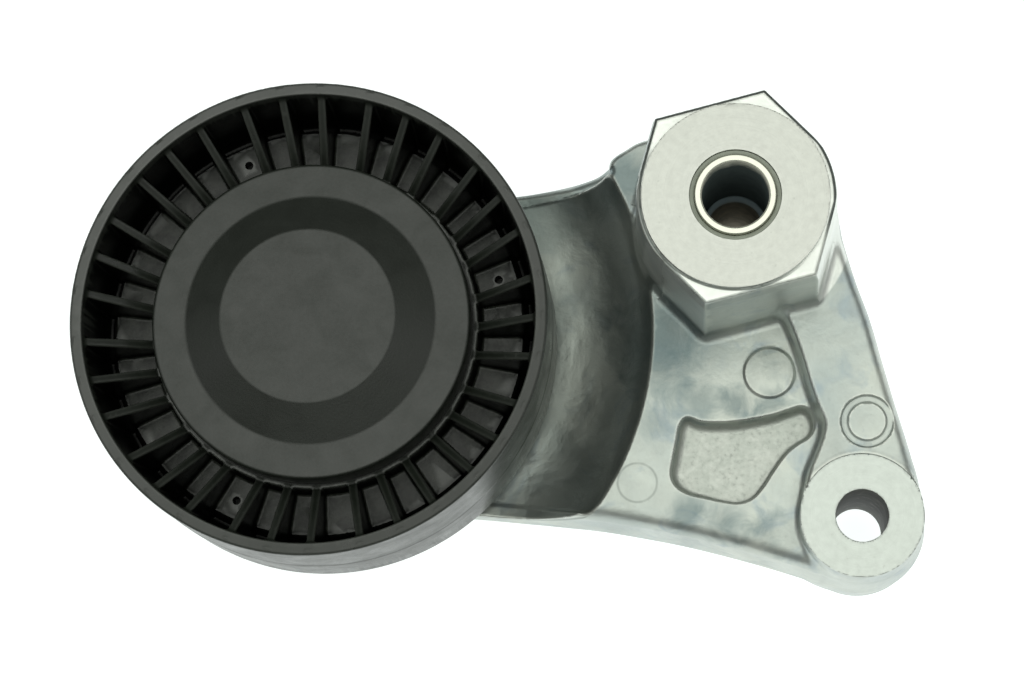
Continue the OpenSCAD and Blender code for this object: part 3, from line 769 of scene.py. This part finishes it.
def drilled(name):
    """The strut eye's wall: dark, dull and mottled; the darkness is painted shade inside the hole, with some dirt."""
    p = Paint(name, (0.10, 0.105, 0.085), metallic=0.0, roughness=0.55)
    w = p.noise(2.4, 3, 0.6, 0.4)
    col = p.ramp(w, [(0.35, (0.060, 0.062, 0.050)), (0.55, (0.100, 0.106, 0.085)), (0.72, (0.24, 0.235, 0.20))])
    p.b.inputs["Specular IOR Level"].default_value = 0.25
    p.set("Base Color", col)
    p.set("Normal", p.bump(w, 0.00006, 0.5))
    return p.m


def plastic(name, base, rough, grain_mm, grain, wave, light):
    p = Paint(name, base, metallic=0.0, roughness=rough)
    g = p.noise(grain_mm, 3, 0.6)
    w = p.noise(4.5, 3, 0.55, 0.6)
    dust = p.noise(1.2, 5, 0.75, 0.2, offset=(0.2, 0.5, 0.1))
    lighter = tuple(c * light for c in base)
    col = p.mix(p.span(w, 0.3, 0.7, 0, 0.6), base, lighter)
    col = p.mix(p.span(dust, 0.60, 0.74, 0, 0.18), col, tuple(c * light * 1.6 + 0.006 for c in base))
    p.set("Base Color", col)
    p.set("Roughness", p.math("ADD", p.span(w, 0.3, 0.7, rough - 0.06, rough + 0.06), p.span(g, 0.3, 0.7, -0.03, 0.03)))
    p.set("Normal", p.bump(g, grain, 0.7, p.bump(w, wave, 0.6)))
    return p


def pulley_black():
    p = plastic("glass_filled_nylon", (0.0120, 0.0150, 0.0112), 0.34, 0.35, 0.000012, 0.00009, 1.5)
    p.b.inputs["Specular IOR Level"].default_value = 0.8
    # convex edges lightened: a painted highlight on the front edge and rib ends, with some scuffing
    edge = p.attr("edge")
    old = p.b.inputs["Base Color"].links[0].from_socket
    p.set("Base Color", p.mix(p.span(edge, 0.25, 1.1, 0, 0.55), old, (0.05, 0.054, 0.048)))
    # inside the rib ring: the recess painted near black as shade, with weaker reflections; pale blotches on the web
    # next to the hub are a painted reflection
    r = p.radius(PX * MM, PY * MM)
    z = p.put("ShaderNodeSeparateXYZ", {0: p.co}).outputs["Z"]
    zmm = p.math("MULTIPLY", z, 1000.0)
    inside = p.math("MULTIPLY", p.span(r, 33.45, 33.2, 0, 1), p.span(zmm, 41.8, 41.2, 0, 1))
    inside = p.math("MULTIPLY", inside, p.span(zmm, 27.0, 26.0, 1, 0))
    inside = p.math("MULTIPLY", inside, p.span(edge, 0.15, 0.8, 1, 0.25))
    lip = p.math("ABSOLUTE", p.math("SUBTRACT", zmm, p.math("ADD", p.math("MULTIPLY", r, 0.86), 33.3 - 24.3 * 0.86)))
    inside = p.math("MULTIPLY", inside, p.span(lip, 0.35, 0.8, 0.1, 1))
    blot = p.noise(1.7, 4, 0.7, 0.3, offset=(0.11, 0.4, 0))
    web = p.math("MULTIPLY", p.span(r, 30.4, 29.8, 0, 1), p.span(zmm, 29.1, 29.25, 0, 1))
    web = p.math("MULTIPLY", web, p.span(zmm, 29.45, 29.6, 1, 0))
    col = p.b.inputs["Base Color"].links[0].from_socket
    col = p.mix(inside, col, (0.0022, 0.0026, 0.0020))
    col = p.mix(p.math("MULTIPLY", web, p.span(blot, 0.35, 0.65, 0.15, 0.9)), col, (0.050, 0.056, 0.046))
    p.set("Base Color", col)
    # painted sheen: reflection strength graded across the pulley by direction, stronger towards the upper left, weaker
    # at the belt edge and in the recess, a little stronger on the web
    x = p.put("ShaderNodeSeparateXYZ", {0: p.co}).outputs["X"]
    y = p.put("ShaderNodeSeparateXYZ", {0: p.co}).outputs["Y"]
    way = p.math("SUBTRACT", p.math("MULTIPLY", p.math("SUBTRACT", y, PY * MM), 0.85), p.math("MULTIPLY", p.math("SUBTRACT", x, PX * MM), 0.55))
    gloss = p.math("MULTIPLY", p.span(way, -0.036, 0.036, 0.62, 1.0), p.span(r, PR - 0.5, PR - 0.1, 1.0, 0.62))
    p.set("Specular IOR Level", p.math("ADD", p.math("MULTIPLY", gloss, p.span(inside, 0, 1, 1.0, 0.22)), p.math("MULTIPLY", web, 0.25)))
    return p.m


def cap_black():
    p = plastic("eroded_cap", (0.0085, 0.0115, 0.0078), 0.45, 0.42, 0.000030, 0.00003, 1.3)
    p.b.inputs["Specular IOR Level"].default_value = 0.80
    return p.m


def steel(name, base, rough, cx=None, cy=None, per_mm=6.0):
    p = Paint(name, base, metallic=1.0, roughness=rough)
    fine = p.noise(0.8, 3, 0.6)
    w = p.noise(3.0, 3, 0.6, 0.4)
    col = p.mix(p.span(w, 0.3, 0.7, 0, 0.5), base, tuple(min(1.0, 0.86 * c) for c in base))
    src = fine
    if cx is not None:
        src = p.rings(p.radius(cx, cy), per_mm)
    p.set("Base Color", col).set("Roughness", p.span(fine, 0.3, 0.7, rough - 0.05, rough + 0.06))
    p.set("Normal", p.bump(src, 0.000006, 0.6))
    return p.m


def sleeve_steel():
    """Bright turned mouth; below it the bore is painted dark and almost unreflecting, as shade inside the hole, brown
    at the bottom.
    """
    p = Paint("turned_sleeve", (0.80, 0.80, 0.72), metallic=1.0, roughness=0.25)
    r = p.radius(0, 0)
    z = p.put("ShaderNodeSeparateXYZ", {0: p.co}).outputs["Z"]
    zmm = p.math("MULTIPLY", z, 1000.0)
    n = p.noise(2.2, 4, 0.65, 0.3)
    fine = p.noise(0.5, 3, 0.6)
    depth = p.math("ADD", zmm, p.span(n, 0.3, 0.7, -0.9, 0.9))
    # painted shade: the bore below the mouth gets a dark colour, no metal and almost no reflection
    inner = p.math("MULTIPLY", p.span(r, 4.93, 5.03, 1, 0), p.span(depth, 39.2, 41.9, 1, 0))
    dark = p.mix(p.span(zmm, 19, 21, 1, 0), (0.125, 0.155, 0.155), (0.400, 0.365, 0.300))
    dark = p.mix(p.span(n, 0.35, 0.7, 0, 0.5), dark, (0.075, 0.095, 0.100))
    dark = p.mix(p.math("MULTIPLY", p.span(zmm, 19.3, 19.8, 0, 0.8), p.span(zmm, 20.5, 20.9, 1, 0)), dark, (0.48, 0.60, 0.66))
    bright = p.mix(p.span(fine, 0.3, 0.7, 0, 0.4), (0.78, 0.78, 0.68), (0.70, 0.71, 0.62))
    p.set("Base Color", p.mix(inner, bright, dark))
    p.set("Metallic", p.span(r, 4.93, 5.03, 0, 1))
    p.set("Specular IOR Level", p.math("SUBTRACT", 0.5, p.math("MULTIPLY", p.span(r, 4.93, 5.03, 1, 0), 0.46)))
    p.set("IOR", p.span(r, 4.93, 5.03, 1.01, 1.5))
    p.set("Roughness", p.math("ADD", p.math("MULTIPLY", inner, 0.30), p.span(fine, 0.3, 0.7, 0.22, 0.30)))
    p.set("Normal", p.bump(p.rings(zmm, 5.0), 0.000010, 0.6))
    return p.m


def rubber(name, base, rough=0.6):
    p = Paint(name, base, roughness=rough)
    g = p.noise(0.4, 3, 0.6)
    w = p.noise(2.0, 3, 0.6)
    p.set("Base Color", p.mix(p.span(w, 0.3, 0.7, 0, 0.6), base, tuple(1.3 * c for c in base)))
    p.set("Roughness", p.span(g, 0.3, 0.7, rough - 0.07, rough + 0.07))
    p.set("Normal", p.bump(g, 0.00002, 0.6))
    return p.m


skin = cast_skin("cast_aluminium_skin")
floor_skin = cast_rough("cast_pocket_floor")
boss_face = faced("faced_boss", 0, 0, (0.636, 0.644, 0.605))
eye_face = faced("faced_eye", EX * MM, EY * MM, (0.606, 0.642, 0.609))
bored = drilled("drilled_bore")

me = casting.data
me.materials.clear()
for m in (skin, floor_skin, boss_face, eye_face, bored):
    me.materials.append(m)
rb = np.hypot(mid[:, 0], mid[:, 1])
re_ = np.hypot(mid[:, 0] - EX, mid[:, 1] - EY)
kind = np.zeros(len(mid), np.int32)
inside = T_POCKET(mid[:, 0], mid[:, 1])
kind[(inside < 0.5) & (mid[:, 2] < PLATE_Z - 2.2) & (mid[:, 2] > PLATE_Z - 3.4)] = 1
kind[(mid[:, 2] > BOSS_Z - 0.16) & (rb < 13.9)] = 2
kind[(rb < 7.02)] = 2
kind[(mid[:, 2] > BAND_Z - 0.62) & (mid[:, 2] < BAND_Z - 0.42) & (re_ < 9.1)] = 3
kind[(re_ < 3.95) & (mid[:, 2] < BAND_Z - 0.5)] = 4
me.polygons.foreach_set("material_index", kind)

wheel.data.materials.append(pulley_black())
cap.data.materials.append(cap_black())
sleeve.data.materials.append(sleeve_steel())
grey_seal = rubber("boss_seal_grey", (0.30, 0.325, 0.27), 0.5)
seal.data.materials.append(grey_seal)

CAD_LOOKS = {
    "pivot_bush_front": steel("bush_bronze", (0.62, 0.43, 0.22), 0.38, 0, 0),
    "pivot_bush_rear": None,
    "pivot_seal_rear": grey_seal,
    "bearing_outer_ring": steel("ring_steel", (0.62, 0.63, 0.64), 0.18, PX * MM, PY * MM),
    "bearing_inner_ring": None,
    "bearing_balls": steel("ball_steel", (0.75, 0.76, 0.77), 0.06),
    "cage_half_front": steel("pressed_cage", (0.58, 0.56, 0.50), 0.34),
    "cage_half_rear": None,
    "cage_rivets": None,
    "bearing_seal_front": rubber("bearing_seal_rubber", (0.035, 0.018, 0.014), 0.5),
    "bearing_seal_rear": None,
    "seal_stiffener_front": steel("stiffener_steel", (0.55, 0.55, 0.54), 0.35),
    "seal_stiffener_rear": None,
    "pulley_bolt": steel("bolt_phosphate", (0.16, 0.16, 0.165), 0.42),
    "clamp_washer": steel("washer_zinc", (0.66, 0.66, 0.62), 0.33, PX * MM, PY * MM),
    "rear_dust_shield": steel("shield_zinc", (0.62, 0.62, 0.58), 0.32, PX * MM, PY * MM),
    "thread_insert": steel("insert_steel", (0.56, 0.55, 0.50), 0.34),
}
last = None
for node, mat in CAD_LOOKS.items():
    last = mat or last
    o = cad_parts[node]
    o.data.materials.clear()
    o.data.materials.append(last)
    for poly in o.data.polygons:
        poly.material_index = 0
for node in ("lever_casting", "pulley_body", "dust_cap", "pivot_sleeve", "pivot_seal_front"):
    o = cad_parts[node]
    o.data.materials.clear()
    o.data.materials.append({"lever_casting": skin, "pulley_body": wheel.data.materials[0], "dust_cap": cap.data.materials[0],
                             "pivot_sleeve": sleeve.data.materials[0], "pivot_seal_front": grey_seal}[node])

# ------------------------------------------------------------------ floor, light, camera
bpy.ops.mesh.primitive_plane_add(size=6.0, location=(-0.03, -0.02, -0.0002))
floor = bpy.context.object
floor.name = "studio_floor"
pf = Paint("studio_floor", (0.93, 0.93, 0.93), roughness=0.9)
pf.b.inputs["Specular IOR Level"].default_value = 0.1
fl = pf.noise(400, 2, 0.5)
pf.set("Base Color", pf.mix(fl, (0.34, 0.34, 0.34), (0.36, 0.36, 0.36)))
pf.b.inputs["Emission Color"].default_value = (0.965, 1.02, 1.0, 1)
pf.b.inputs["Emission Strength"].default_value = 0.96
# clear from underneath, so the back of the part can be looked at through it
under = pf.put("ShaderNodeNewGeometry").outputs["Backfacing"]
clear = pf.put("ShaderNodeBsdfTransparent")
either_way = pf.put("ShaderNodeMixShader", {0: under, 1: pf.b.outputs[0], 2: clear.outputs[0]})
pf.t.links.new(either_way.outputs[0], pf.out.inputs[0])
floor.data.materials.append(pf.m)

world = bpy.data.worlds.new("studio")
bpy.context.scene.world = world
world.use_nodes = True
wt = world.node_tree
wt.nodes.clear()
wo = wt.nodes.new("ShaderNodeOutputWorld")
bg = wt.nodes.new("ShaderNodeBackground")
tc = wt.nodes.new("ShaderNodeTexCoord")
tilt = wt.nodes.new("ShaderNodeMapping")
tilt.vector_type = "VECTOR"
tilt.inputs["Rotation"].default_value = (math.radians(0), 0, 0)
sep = wt.nodes.new("ShaderNodeSeparateXYZ")
cr = wt.nodes.new("ShaderNodeValToRGB")
wt.links.new(tc.outputs["Generated"], tilt.inputs[0])
wt.links.new(tilt.outputs[0], sep.inputs[0])
wt.links.new(sep.outputs["Z"], cr.inputs[0])
wt.links.new(cr.outputs[0], bg.inputs[0])
wt.links.new(bg.outputs[0], wo.inputs[0])
sky = [(0.0, 0.11), (0.56, 0.115), (0.70, 0.30), (0.84, 0.95), (0.93, 1.12)]
el = cr.color_ramp.elements
while len(el) < len(sky):
    el.new(0.5)
for e_, (at, v) in zip(el, sky):
    e_.position = at
    e_.color = (v * 0.965, v, v * 0.93, 1)
bg.inputs[1].default_value = 1.3


def softbox(name, loc, target, size, power, size_y=None):
    ld = bpy.data.lights.new(name, "AREA")
    ld.shape = "RECTANGLE"
    ld.size, ld.size_y = size, size_y or size
    ld.energy = power
    lo = bpy.data.objects.new(name, ld)
    bpy.context.scene.collection.objects.link(lo)
    lo.location = loc
    lo.rotation_mode = "QUATERNION"
    lo.rotation_quaternion = (Vector(target) - Vector(loc)).to_track_quat("-Z", "Y")
    return lo


softbox("softbox_left", (-0.9, -0.1, 0.55), (-0.03, -0.02, 0.02), 0.5, 0.35)
softbox("softbox_right", (0.9, -0.1, 0.65), (-0.03, -0.02, 0.02), 0.5, 0.35)

cam_data = bpy.data.cameras.new("studio_camera")
cam_data.lens = 2900.0 / 1024.0 * 36.0
cam_data.sensor_width = 36.0
cam_data.sensor_fit = "HORIZONTAL"
cam_data.clip_start, cam_data.clip_end = 0.01, 20.0
cam = bpy.data.objects.new("studio_camera", cam_data)
bpy.context.scene.collection.objects.link(cam)
right = Vector((0.99742, 0.00670, -0.07152))
up = Vector((0.00670, 0.98262, 0.18546))
back = Vector((0.07152, -0.18546, 0.98004))
m = Matrix((right, up, back)).transposed().to_4x4()
m.translation = Vector((-0.00238, -0.09906, 0.45200))
cam.matrix_world = m
bpy.context.scene.camera = cam
bpy.context.scene.view_settings.view_transform = "Standard"
